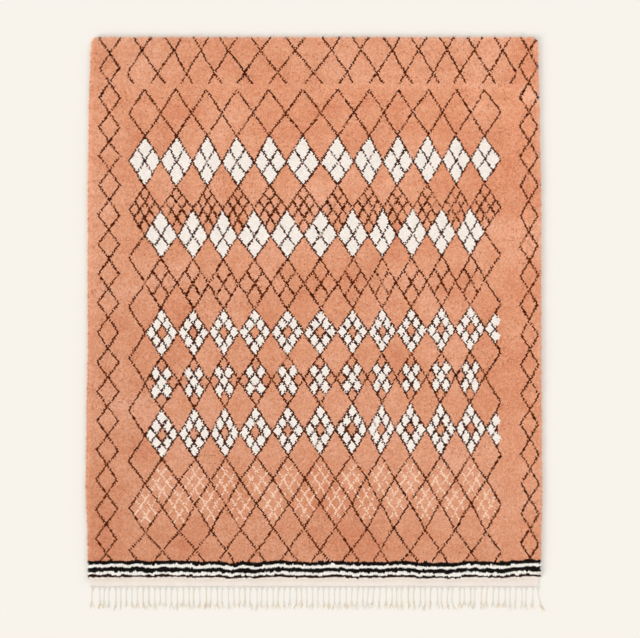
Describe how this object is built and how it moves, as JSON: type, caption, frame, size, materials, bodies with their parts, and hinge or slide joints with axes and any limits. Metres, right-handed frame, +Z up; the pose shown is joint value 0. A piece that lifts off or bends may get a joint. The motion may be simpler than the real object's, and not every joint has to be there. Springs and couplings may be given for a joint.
{
  "type": "beni ourain rug",
  "caption": "Flat knotted wool pile rug with a salmon ground, a dark lozenge lattice, striped pile rows and a flat-woven band at one end, and a knotted fringe.",
  "frame": {"origin": "middle of the flat underside, where the rug rests on the floor", "axes": "+Z up out of the pile, +Y along the rug away from the fringe, +X across it"},
  "size_m": [2.5459, 3.1873, 0.0265],
  "materials": {
    "salmon_wool": "matt hand-knotted wool pile, mottled salmon",
    "charcoal_wool": "matt hand-knotted wool pile, brown-black",
    "ivory_wool": "matt undyed wool pile",
    "ivory_warp": "undyed plied warp yarn, flat-woven, or in knotted cords with frayed ends"
  },
  "bodies": {
    "root": {"rug_cloth": "salmon_wool", "end_fringe": "ivory_warp"}
  },
  "joints": []
}
